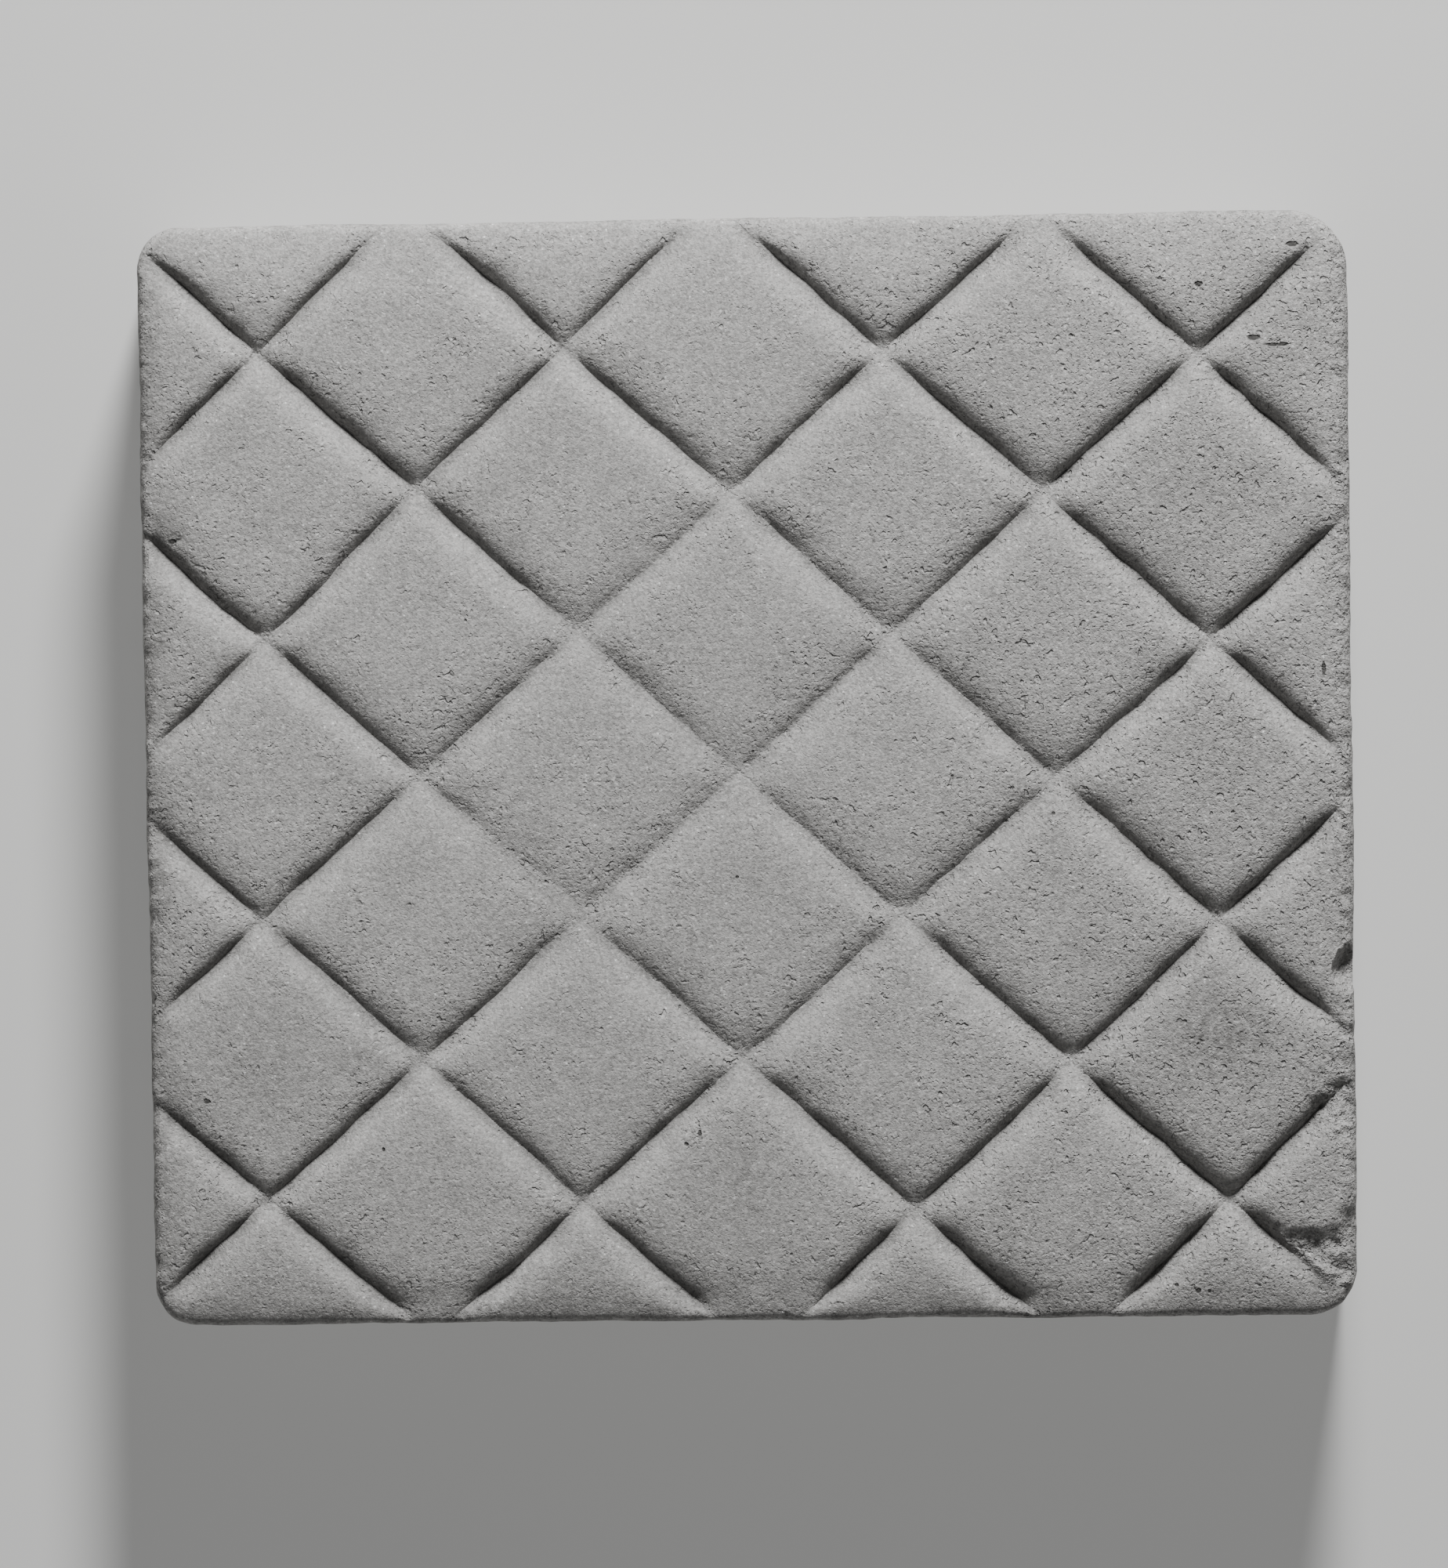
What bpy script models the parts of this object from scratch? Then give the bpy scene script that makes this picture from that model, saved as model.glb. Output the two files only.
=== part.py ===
"""A carved stone tile: a hand-squared slab whose face is cut into a net of domed lozenges.

The slab lies on its flat bedding face, at z = 0, with the carved face up. The foot edge runs along X,
and the origin is under the middle of the tile's outline. Sizes are in metres and angles in degrees.
"""

import math

import bmesh
import bpy
from mathutils import Vector

# The slab, squared by hand on its foot edge
WIDTH = 0.2000
HEIGHT = 0.1827
THICKNESS = 0.0380
HEAD_RISE = 0.0012
LEFT_LEAN = 0.0017
RIGHT_LEAN = 0.0003
CORNER_RADIUS = 0.0078
FACE_ARRIS = 0.0030
BACK_ARRIS = 0.0018

# The grooves: two sets of parallel cuts, one falling to the right and one rising.
# Wander is how far a cut strays from its even place, and tilt how far it turns.
FALLING_SLANT = -41.7
FALLING_PITCH = 0.0345
FALLING_SHIFT = -0.0014
FALLING_WANDER = (-0.0005, -0.0009, -0.0002, 0.0007, 0.0001, -0.0004, -0.0007)
FALLING_TILT = (0.8, 0.2, 0.1, 0.0, -0.1, -0.2, -0.8)
RISING_SLANT = 42.0
RISING_PITCH = 0.0355
RISING_SHIFT = 0.0006
RISING_WANDER = (-0.0005, -0.0015, 0.0002, 0.0006, 0.0004, 0.0003, -0.0004)
RISING_TILT = (1.9, 0.9, -0.5, -0.2, 0.1, 2.0, 2.3)

# The section of a groove, and the swell of the lozenges between the grooves
GROOVE_DEPTH = 0.0021
GROOVE_WALL_SLOPE = 0.85
GROOVE_SHOULDER = 0.0008
DOME_RISE = 0.0014
DOME_REACH = 0.0050

# Where a groove rises to nothing before each edge of the face
RUN_OUT_HEAD = 0.0085
RUN_OUT_FOOT = 0.0045
RUN_OUT_SIDES = 0.0020
RUN_OUT_CUTS = (0.35, 0.7, 1.0)

# The wear of the middle of the face, by feet or hands
WEAR_HOLLOW = 0.0008
WEAR_OF_GROOVES = 0.55
WEAR_WIDTH = 0.055
WEAR_HEIGHT = 0.048
WEAR_SIDESTEP = -0.012

# The spall that took the face off beside the right edge, near the foot
SPALL_FROM_RIGHT = 0.0030
SPALL_FROM_FOOT = 0.0150
SPALL_WIDTH = 0.0150
SPALL_HEIGHT = 0.0110
SPALL_DEPTH = 0.0045

CORNER_SEGMENTS = 5
ARRIS_SEGMENTS = 3
NEAR_CUTS = (0.0, 0.0009, 0.0021, 0.0034)
HAIR = 0.0001

STONE_COLOUR = (0.40, 0.39, 0.38, 1.0)
STONE_ROUGHNESS = 0.85


def clear_scene():
    for obj in list(bpy.data.objects):
        bpy.data.objects.remove(obj, do_unlink=True)


def outline_corners():
    """The four corners of the slab, before rounding, about the middle of its outline."""
    left, right = -LEFT_LEAN, WIDTH
    centre = Vector(((left + right) / 2, (HEIGHT + HEAD_RISE) / 2))
    return {
        (-1, -1): Vector((0.0, 0.0)) - centre,
        (1, -1): Vector((WIDTH, 0.0)) - centre,
        (1, 1): Vector((WIDTH - RIGHT_LEAN, HEIGHT + HEAD_RISE)) - centre,
        (-1, 1): Vector((-LEFT_LEAN, HEIGHT)) - centre,
    }


def groove_lines(slant, pitch, shift, wander, tilt):
    """Each groove of a set as (normal, distance): the line where point . normal = distance."""
    reach = math.hypot(WIDTH, HEIGHT) / 2
    count = math.ceil(reach / pitch)
    middle = len(wander) // 2
    lines = []
    for index in range(-count, count + 1):
        place = (index + middle) % len(wander)
        angle = math.radians(slant + tilt[place])
        normal = Vector((-math.sin(angle), math.cos(angle)))
        lines.append((normal, index * pitch + shift + wander[place]))
    return lines


FALLING = groove_lines(FALLING_SLANT, FALLING_PITCH, FALLING_SHIFT, FALLING_WANDER, FALLING_TILT)
RISING = groove_lines(RISING_SLANT, RISING_PITCH, RISING_SHIFT, RISING_WANDER, RISING_TILT)


def nearest(point, lines):
    """How far a point is from the nearest groove of a set."""
    return min(abs(point.dot(normal) - distance) for normal, distance in lines)


def wear_at(point):
    """From 0 at the rim to 1 where the face is most worn."""
    across = (point.x - WEAR_SIDESTEP) / WEAR_WIDTH
    along = point.y / WEAR_HEIGHT
    return math.exp(-(across**2 + along**2))


def groove_drop(distance, depth):
    """A vee with straight walls and a soft shoulder, as a chisel leaves it and wear rounds it."""
    wall = depth - GROOVE_WALL_SLOPE * distance
    return (wall + math.hypot(wall, GROOVE_SHOULDER)) / 2


def outline_edges(corners):
    """Each edge of the plan as (inward normal, distance, run-out), like the grooves' lines."""
    order = ((-1, -1), (1, -1), (1, 1), (-1, 1))
    run_outs = (RUN_OUT_FOOT, RUN_OUT_SIDES, RUN_OUT_HEAD, RUN_OUT_SIDES)
    edges = []
    for index, run_out in enumerate(run_outs):
        start, end = corners[order[index]], corners[order[(index + 1) % len(order)]]
        along = (end - start).normalized()
        inward = Vector((-along.y, along.x))
        edges.append((inward, start.dot(inward), run_out))
    return edges


def run_out_at(point, edges):
    """From 0 at an edge of the plan to 1 where the grooves have their whole depth."""
    share = 1.0
    for inward, distance, run_out in edges:
        step = min(1.0, max(0.0, (point.dot(inward) - distance) / run_out))
        share *= step * step * (3.0 - 2.0 * step)
    return share


def spall_drop(point, corners):
    """The hollow that a blow left beside the right edge."""
    foot_right = corners[(1, -1)]
    across = (point.x - foot_right.x + SPALL_FROM_RIGHT) / SPALL_WIDTH
    along = (point.y - foot_right.y - SPALL_FROM_FOOT) / SPALL_HEIGHT
    return SPALL_DEPTH * max(0.0, 1.0 - across**2 - along**2)


def carved_level(point, corners):
    """The height of the carved face at a point of the plan."""
    falling, rising = nearest(point, FALLING), nearest(point, RISING)
    wear = wear_at(point)
    depth = GROOVE_DEPTH * (1.0 - WEAR_OF_GROOVES * wear)
    swell_left = (1.0 - math.exp(-falling / DOME_REACH)) * (1.0 - math.exp(-rising / DOME_REACH))
    drop = groove_drop(min(falling, rising), depth)
    drop = (drop + DOME_RISE * (1.0 - swell_left)) * run_out_at(point, outline_edges(corners))
    return THICKNESS - max(drop + WEAR_HOLLOW * wear, spall_drop(point, corners))


def squared_block(corners):
    """The slab as a block with its corners, face arris and back arris rounded."""
    bm = bmesh.new()
    bmesh.ops.create_cube(bm, size=2.0)
    for vert in bm.verts:
        corner = corners[(round(vert.co.x), round(vert.co.y))]
        vert.co = Vector((corner.x, corner.y, THICKNESS if vert.co.z > 0 else 0.0))
    upright = [e for e in bm.edges if abs(e.verts[0].co.z - e.verts[1].co.z) > HAIR]
    round_edges(bm, upright, CORNER_RADIUS, CORNER_SEGMENTS)
    for level, radius in ((THICKNESS, FACE_ARRIS), (0.0, BACK_ARRIS)):
        rim = [e for e in bm.edges if all(abs(v.co.z - level) < HAIR for v in e.verts)]
        round_edges(bm, rim, radius, ARRIS_SEGMENTS)
    return bm


def round_edges(bm, edges, radius, segments):
    bmesh.ops.bevel(
        bm,
        geom=edges,
        offset=radius,
        offset_type="OFFSET",
        segments=segments,
        profile=0.5,
        affect="EDGES",
        clamp_overlap=True,
        material=-1,
    )


def scribe(bm, region, normal, distance):
    """Splits the faces of a region along an upright plane, and returns the region with its new parts."""
    made = bmesh.ops.bisect_plane(
        bm,
        geom=region,
        dist=HAIR / 10,
        plane_co=Vector((normal.x * distance, normal.y * distance, 0.0)),
        plane_no=Vector((normal.x, normal.y, 0.0)),
    )
    return made["geom"]


def carve_face(bm, corners):
    """Scribes lines along, between and at the ends of the grooves, then lowers the face to the carving."""
    floor = THICKNESS - FACE_ARRIS - HAIR
    faces = [f for f in bm.faces if all(v.co.z > floor for v in f.verts)]
    region = list({item for f in faces for item in (f, *f.edges, *f.verts)})
    for lines in (FALLING, RISING):
        for (normal, distance), (_, following) in zip(lines, lines[1:] + lines[-1:]):
            region = scribe(bm, region, normal, (distance + following) / 2)
            for step in sorted({side * cut for cut in NEAR_CUTS for side in (-1, 1)}):
                region = scribe(bm, region, normal, distance + step)
    for inward, distance, run_out in outline_edges(corners):
        for share in RUN_OUT_CUTS:
            region = scribe(bm, region, inward, distance + max(FACE_ARRIS, run_out) * share)
    verts = [item for item in region if isinstance(item, bmesh.types.BMVert)]
    for vert in verts:
        vert.co.z = min(vert.co.z, carved_level(vert.co.xy, corners))
    bmesh.ops.remove_doubles(bm, verts=verts, dist=HAIR)
    bmesh.ops.triangulate(bm, faces=bm.faces[:], quad_method="BEAUTY", ngon_method="BEAUTY")


def stone_material():
    material = bpy.data.materials.new("stone")
    material.use_nodes = True
    shader = material.node_tree.nodes["Principled BSDF"]
    shader.inputs["Base Color"].default_value = STONE_COLOUR
    shader.inputs["Roughness"].default_value = STONE_ROUGHNESS
    shader.inputs["Metallic"].default_value = 0.0
    return material


def carved_tile():
    corners = outline_corners()
    bm = squared_block(corners)
    carve_face(bm, corners)
    mesh = bpy.data.meshes.new("carved_tile")
    bm.to_mesh(mesh)
    bm.free()
    mesh.shade_smooth()
    mesh.set_sharp_from_angle(angle=math.radians(30.0))
    tile = bpy.data.objects.new("carved_tile", mesh)
    tile.data.materials.append(stone_material())
    return tile


def main():
    clear_scene()
    collection = bpy.data.collections.new("carved stone tile")
    bpy.context.scene.collection.children.link(collection)
    collection.objects.link(carved_tile())


main()
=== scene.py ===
# %% [markdown]
# # A carved stone tile
#
# This lesson dresses a squared slab of stone whose face is cut into a net of domed lozenges. The solid
# model already has the true size, outline and grooves, in about six thousand flat triangles. Here the
# slab is made again as one fine mesh, with the marks of the hand that cut it and of the years of wear,
# and then it gets its stone, its floor, its lights and its camera.
#
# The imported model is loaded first. It is a fixed frame: nothing below moves or resizes it.

# %% Load the frame
import math

import bmesh
import bpy
from mathutils import Matrix, Vector, noise


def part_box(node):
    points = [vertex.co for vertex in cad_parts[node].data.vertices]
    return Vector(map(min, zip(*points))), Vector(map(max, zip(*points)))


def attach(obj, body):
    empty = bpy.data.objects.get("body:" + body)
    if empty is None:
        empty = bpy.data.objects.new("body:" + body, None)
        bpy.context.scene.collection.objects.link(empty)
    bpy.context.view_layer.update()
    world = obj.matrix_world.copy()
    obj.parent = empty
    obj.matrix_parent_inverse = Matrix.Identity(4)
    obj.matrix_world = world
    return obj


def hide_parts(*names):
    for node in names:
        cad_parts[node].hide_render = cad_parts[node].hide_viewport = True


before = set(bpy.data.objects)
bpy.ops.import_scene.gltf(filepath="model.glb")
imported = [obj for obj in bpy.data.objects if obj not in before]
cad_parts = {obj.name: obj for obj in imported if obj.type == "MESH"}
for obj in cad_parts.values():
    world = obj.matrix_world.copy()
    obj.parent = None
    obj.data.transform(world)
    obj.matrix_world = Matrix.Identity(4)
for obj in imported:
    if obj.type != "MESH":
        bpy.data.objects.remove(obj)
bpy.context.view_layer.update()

# %% [markdown]
# ## The plan of the slab
#
# The mason squared the slab on its foot edge, and the other edges came out a little off square. Its
# corners are rounded, each by a different amount. The script works in millimetres, because a mason's
# sizes read well that way, and the finished mesh is scaled to metres at the end.
#
# X runs along the foot edge, Y from the foot to the head, and Z up out of the carved face. The origin
# is under the middle of the outline.

# %% Sizes of the slab, in millimetres
MM = 0.001
WIDTH = 200.0
HEIGHT = 182.7
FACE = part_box("carved_tile")[1][2] / MM
HEAD_RISE = 1.2
LEFT_LEAN = 1.7
RIGHT_LEAN = 0.3
CORNER_RADII = {
    ("left", "foot"): 7.0,
    ("right", "foot"): 8.2,
    ("right", "head"): 9.6,
    ("left", "head"): 7.2,
}
FACE_ARRIS = 3.0
BACK_ARRIS = 1.8
RIGHT = (WIDTH + LEFT_LEAN) / 2
LEFT = -RIGHT
HEAD = (HEIGHT + HEAD_RISE) / 2
FOOT = -HEAD
print(f"face at {FACE:.2f} mm, plan {RIGHT - LEFT:.1f} by {HEAD - FOOT:.1f} mm")

# %% [markdown]
# ## The net of grooves
#
# The mason ruled two sets of parallel lines and cut a groove along each one with a narrow chisel. The
# lines are close to even, but each strays a little and turns a little. A groove is kept here as a
# straight line in the plan: its normal, and how far it lies from the origin along that normal. A short
# table of strays is all that sets this net apart from a ruled one.

# %% The two sets of grooves
class Groove:
    """One cut, as the line where place . normal = distance. The normal points towards the head."""

    def __init__(self, slant, distance, depth):
        turn = math.radians(slant)
        self.normal = Vector((-math.sin(turn), math.cos(turn)))
        self.distance = distance
        self.depth = depth

    def side(self, place):
        """How far a place lies from the line, positive on the side of the head."""
        return place.dot(self.normal) - self.distance


def groove_set(slant, pitch, shift, depth, strays, turns, shares):
    """A set from the foot to the head. Each groove has its own stray, turn and share of the depth."""
    middle = len(strays) // 2
    return [
        Groove(slant + turn, (index - middle) * pitch + shift + stray, depth * share)
        for index, (stray, turn, share) in enumerate(zip(strays, turns, shares))
    ]


FALLING = groove_set(
    slant=-41.7,
    pitch=34.5,
    shift=-1.97,
    depth=2.25,
    strays=(-0.3, -1.05, -0.25, 0.6, 0.0, -0.2, -0.5),
    turns=(1.3, 0.05, 0.1, 0.1, 0.0, -0.05, -0.75),
    shares=(0.66, 0.70, 0.96, 1.08, 1.02, 1.05, 0.98),
)
RISING = groove_set(
    slant=42.0,
    pitch=35.5,
    shift=-0.05,
    depth=2.03,
    strays=(-0.4, -1.35, 0.25, 0.6, 0.3, 0.3, -0.15),
    turns=(1.8, 1.0, -0.6, -0.1, 0.0, 1.9, 2.6),
    shares=(1.05, 1.05, 1.05, 1.07, 1.05, 0.98, 1.02),
)
print(f"{len(FALLING)} falling and {len(RISING)} rising grooves")

# %% [markdown]
# ## How deep the carving is at each place
#
# Years of feet or hands wore the middle of the face, and a few spots more than the rest. There the
# grooves are shallow and the lozenges flat, and towards the rim both keep their depth. The chisel
# started a cut at one edge and ran out before the other, so the two sets fade at different edges, and
# the ends of a few grooves are all but lost. Each of these depends only on the place in the plan, so the
# carving itself stays one short formula.
#
# Every uneven thing here comes from smooth noise, which gives one value for one place. A third number
# picks a layer of the noise, so that two of them never rise and fall together.

# %% Wear and run-out
WEAR_MIDDLE = Vector((0.0, -4.0))
WEAR_REACH = Vector((59.0, 56.0))
WORN_SPOTS = [
    (Vector((-40.0, -13.0)), Vector((10.0, 10.0)), 0.7),
    (Vector((-15.0, 35.0)), Vector((11.0, 11.0)), 0.55),
    (Vector((-14.0, -12.0)), Vector((9.0, 9.0)), 0.35),
    (Vector((-28.0, -24.0)), Vector((8.0, 8.0)), 0.35),
]
RUN_OUTS = {
    "falling": {"head": 9.5, "foot": 4.5, "left": 3.0, "right": 10.0},
    "rising": {"head": 10.0, "foot": 6.5, "left": 7.0, "right": 8.0},
}
LOST_ENDS = [
    (Vector((98.0, -83.0)), Vector((8.0, 7.0)), 1.0),
    (Vector((98.5, -51.0)), Vector((6.0, 6.0)), 0.8),
    (Vector((98.0, 90.0)), Vector((8.0, 8.0)), 1.1),
    (Vector((-100.0, 90.0)), Vector((7.0, 7.0)), 0.9),
]
MOST_LOST = 0.85


def nearest(place, grooves):
    """The groove of a set whose line runs nearest to a place."""
    return min(grooves, key=lambda groove: abs(groove.side(place)))


def soft_step(value, low, high):
    """Rises smoothly from 0 at low to 1 at high."""
    share = min(1.0, max(0.0, (value - low) / (high - low)))
    return share * share * (3.0 - 2.0 * share)


def bump(place, middle, reach):
    """A round hill of height 1 at its middle."""
    return math.exp(-((place.x - middle.x) / reach.x) ** 2 - ((place.y - middle.y) / reach.y) ** 2)


def marks_at(place, marked_places):
    """The sum of marks, each a round hill with its middle, its reach and its height."""
    return sum(height * bump(place, middle, reach) for middle, reach, height in marked_places)


def ripple(place, length, layer):
    """Smooth noise between about -1 and 1, with lumps of about the length given."""
    return noise.noise(Vector((place.x / length, place.y / length, layer)))


def wear_at(place):
    """From 0 where the cuts are fresh to 1 or more where the face is worn most."""
    return bump(place, WEAR_MIDDLE, WEAR_REACH) + marks_at(place, WORN_SPOTS)


def edge_distances(place):
    """How far a place lies inside each edge of the plan, corners aside."""
    up = (place.y - FOOT) / HEIGHT
    across = (place.x - LEFT) / WIDTH
    return {
        "left": place.x - (LEFT + LEFT_LEAN * (1.0 - up)),
        "right": RIGHT - RIGHT_LEAN * up - place.x,
        "foot": place.y - FOOT,
        "head": HEAD - HEAD_RISE * (1.0 - across) - place.y,
    }


def run_out_at(place, name):
    """From 0, where a groove of a set has risen to the face, to 1, where it has its whole depth."""
    share = 1.0 - min(MOST_LOST, marks_at(place, LOST_ENDS))
    for edge, inside in edge_distances(place).items():
        share *= soft_step(inside, 0.0, RUN_OUTS[name][edge])
    return share


for name, spot in (("the middle", Vector((0.0, 0.0))), ("a corner", Vector((90.0, 80.0)))):
    print(f"wear at {name}: {wear_at(spot):.2f}")

# %% [markdown]
# ## The section of a groove
#
# Wear has rounded every edge since the cutting, so the section of a groove is a bell and not a vee,
# and its two sides aren't alike. Towards the head the wall is steep beside the line and ends in a long
# tail, and towards the foot the bell is wider and rounder. Each side has a reach, which is how wide it
# is, a curve, which says how square its shoulder is, and a share by which wear widens it.
#
# Where two grooves cross, the drops join so that the crossing is as deep as the deeper groove. That
# rounds the tips of the lozenges too. For a few millimetres past the crossing, towards the foot, a groove
# is shallower. A low cushion between the grooves swells each lozenge.

# %% Grooves and lozenges
# Each side as (reach, curve, widening by wear)
HEAD_SIDE = {"falling": (1.65, 1.12, 0.75), "rising": (1.18, 1.02, 1.70)}
FOOT_SIDE = (2.45, 1.68, 0.68)
DEPTH_TO_RIGHT = {"falling": 0.06, "rising": 0.12}
WEAR_OF_DEPTH = {"falling": 0.60, "rising": 0.38}
RUN_OUT_WIDTH = 0.4
DEPTH_UNEVEN = 0.22
DEPTH_LENGTH = 5.0
LEAST_DEPTH = 0.25
PAST_CROSSING = 0.30
PAST_MIDDLE = 3.6
PAST_REACH = 3.4
CUSHION = 0.6
CUSHION_REACH = 3.4
WEAR_OF_CUSHION = 0.3


def bell(side, wear, run, name):
    """The share of a groove's depth at a distance from its line, positive towards the head."""
    reach, curve, worn_wide = HEAD_SIDE[name] if side > 0.0 else FOOT_SIDE
    wide = reach * (1.0 + worn_wide * wear) * (RUN_OUT_WIDTH + (1.0 - RUN_OUT_WIDTH) * run)
    return math.exp(-((abs(side) / wide) ** curve))


def carving_at(place):
    """How far the carving lowers the face at a place, edges and breaks aside."""
    wear = wear_at(place)
    uneven = 1.0 + DEPTH_UNEVEN * ripple(place, DEPTH_LENGTH, 15.0)
    shares = []
    depths = []
    runs = []
    crown = 1.0
    near = {"falling": nearest(place, FALLING), "rising": nearest(place, RISING)}
    sides = {name: groove.side(place) for name, groove in near.items()}
    for name, crossed in (("falling", "rising"), ("rising", "falling")):
        groove = near[name]
        side = sides[name]
        run = run_out_at(place, name)
        lean = 1.0 + DEPTH_TO_RIGHT[name] * place.x / RIGHT
        shares.append(bell(side, wear, run, name))
        past = 1.0 - PAST_CROSSING * math.exp(-(((sides[crossed] + PAST_MIDDLE) / PAST_REACH) ** 2))
        left = max(LEAST_DEPTH, 1.0 - WEAR_OF_DEPTH[name] * wear) * past
        depths.append(groove.depth * lean * left * uneven * run)
        runs.append(run)
        crown *= 1.0 - math.exp(-abs(side) / CUSHION_REACH)
    cut = shares[0] * depths[0] + shares[1] * depths[1] - shares[0] * shares[1] * min(depths)
    cushion = CUSHION * (1.0 - WEAR_OF_CUSHION * min(1.0, wear))
    return cut + cushion * (1.0 - crown) * min(runs)


print(f"carving at a crossing {carving_at(Vector((-40.0, 36.0))):.2f} mm")

# %% [markdown]
# ## Breaks and roughness
#
# The right side took the hardest knocks. Near the foot a flake came away beside the edge. It left a
# smooth lump standing, with a ragged undercut below it and a broken slope from there to the corner, and
# above the lump the edge is broken too. Smaller bites are missing from the rim. A bite is made by
# pushing every point that lies inside a ball out to the ball's skin, which works on the face and on the
# sides alike, and a little noise on the ball's radius makes the break look like a break.

# %% Broken places
UNDERCUT_LEVEL = -76.4
UNDERCUT_DEPTH = 1.7
UNDERCUT_RAGGED = 1.5
UNDERCUT_LUMPS = Vector((2.4, 6.0))
UNDERCUT_SAG = 1.6
UNDERCUT_SAG_MIDDLE = 92.0
UNDERCUT_SAG_REACH = 4.0
UNDERCUT_LIFT = 3.0
UNDERCUT_LIFT_SPAN = (97.0, 102.0)
UNDERCUT_START_SPAN = (80.0, 90.0)
UNDERCUT_FROM_GROOVE = (-0.2, 2.4)
UNDERCUT_WALL = (-1.4, 2.2)
UNDERCUT_FLAT = 2.0
UNDERCUT_SLOPE = 13.0
ABOVE_LUMP = Vector((100.0, -56.5))
ABOVE_LUMP_REACH = Vector((6.0, 6.5))
ABOVE_LUMP_RIM = (-63.2, -61.2)
ABOVE_LUMP_DEPTH = 1.3
# Each bite as the middle of its ball and the ball's radius
BITES = {
    "left side": (Vector((-102.4, 64.8, FACE - 0.6)), 3.3),
    "right side": (Vector((101.0, -34.4, FACE + 0.3)), 4.6),
    "right side, high": (Vector((101.2, 50.2, FACE + 0.4)), 3.3),
    "right side, low": (Vector((101.6, -5.2, FACE + 0.2)), 3.0),
    "chip in a groove": (Vector((27.6, 77.4, FACE + 1.3)), 2.5),
    "chip beside it": (Vector((24.0, 75.0, FACE + 1.2)), 2.2),
    "chip at the left": (Vector((-94.4, 38.4, FACE - 0.4)), 1.3),
}
BITE_RAGGED = 0.14
BITE_LENGTH = 1.7
ROUGH_EDGE = {"right": 4.8, "left": 2.0}
ROUGH_CORE = 0.25
ROUGHNESS_OF_EDGE = 0.8
WHOLLY_BROKEN = 0.7
SWELL = 0.16
SWELL_LENGTH = 11.0
DIMPLES = 0.05
DIMPLES_LENGTH = 3.2
CRUMBLE = 0.78
CRUMBLE_LENGTH = 2.3
# How fast the crumbs' layers of noise weaken, how fast they shrink, and how many there are
CRUMBLE_LAYERS = (0.7, 2.1, 3)


def undercut_drop(place):
    """The hollow under the lump: a ragged wall on the head side, then a slope out towards the foot."""
    lumps = Vector((place.x / UNDERCUT_LUMPS.x, place.y / UNDERCUT_LUMPS.y, 21.0))
    ragged = UNDERCUT_RAGGED * noise.noise(lumps)
    sag = math.exp(-(((place.x - UNDERCUT_SAG_MIDDLE) / UNDERCUT_SAG_REACH) ** 2))
    edge = UNDERCUT_LEVEL - UNDERCUT_SAG * sag
    edge += UNDERCUT_LIFT * soft_step(place.x, *UNDERCUT_LIFT_SPAN) + ragged
    below = edge - place.y
    past_groove = soft_step(nearest(place, FALLING).side(place), *UNDERCUT_FROM_GROOVE)
    across = past_groove * soft_step(place.x, *UNDERCUT_START_SPAN)
    fade = math.exp(-max(0.0, below - UNDERCUT_FLAT) / UNDERCUT_SLOPE)
    return UNDERCUT_DEPTH * across * soft_step(below, *UNDERCUT_WALL) * fade


def above_lump_drop(place):
    """The broken edge above the lump, which ends at the lump's lit rim."""
    rim = soft_step(place.y, *ABOVE_LUMP_RIM)
    return ABOVE_LUMP_DEPTH * rim * bump(place, ABOVE_LUMP, ABOVE_LUMP_REACH)


def broken_drop(place):
    """How far the breaks of the face lower a place."""
    return undercut_drop(place) + above_lump_drop(place)


def roughness_at(place):
    """From 0 on the worn face to 1 where the stone is broken."""
    inside = edge_distances(place)
    edge = 0.0
    for name, reach in ROUGH_EDGE.items():
        edge = max(edge, 1.0 - soft_step(inside[name], ROUGH_CORE * reach, reach))
    return max(ROUGHNESS_OF_EDGE * edge, min(1.0, broken_drop(place) / WHOLLY_BROKEN))


def unevenness(place, rough):
    """Slow undulation of the worn face, and sharper grain where it is broken."""
    slow = SWELL * ripple(place, SWELL_LENGTH, 3.0)
    middle = DIMPLES * ripple(place, DIMPLES_LENGTH, 7.0)
    crumbs = Vector((place.x / CRUMBLE_LENGTH, place.y / CRUMBLE_LENGTH, 1.0))
    broken = CRUMBLE * rough * noise.fractal(crumbs, *CRUMBLE_LAYERS)
    return slow + middle + broken


def bitten(point):
    """Pushes a point of the slab out of every bite."""
    for middle, radius in BITES.values():
        offset = point - middle
        reach = radius * (1.0 + BITE_RAGGED * noise.noise(point / BITE_LENGTH))
        if 0.0 < offset.length < reach:
            point = middle + offset * (reach / offset.length)
    return point


print(f"{len(BITES)} bites, undercut {UNDERCUT_DEPTH} mm deep")

# %% [markdown]
# ## From an even grid to the plan of the slab
#
# The mesh starts as an even grid. Its outer lines are moved together so that they lie on the rounded
# arris, and in each corner the square of grid is bent into a quarter of a disc. The lines stay whole,
# so there is no seam between the flat of the face and the round of the corner.

# %% Mapping the grid
ACROSS = 264
UP = 240
ARRIS_STEPS = 5


def line_place(index, count, length):
    """Where a grid line lies: outer lines follow the arris's arc, and inner ones are even."""
    near = min(index, count - index)
    if near < ARRIS_STEPS:
        place = FACE_ARRIS * (1.0 - math.cos(math.pi / 2 * near / ARRIS_STEPS))
    else:
        even = (length - 2 * FACE_ARRIS) / (count - 2 * ARRIS_STEPS)
        place = FACE_ARRIS + (near - ARRIS_STEPS) * even
    return place if index <= count / 2 else length - place


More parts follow.
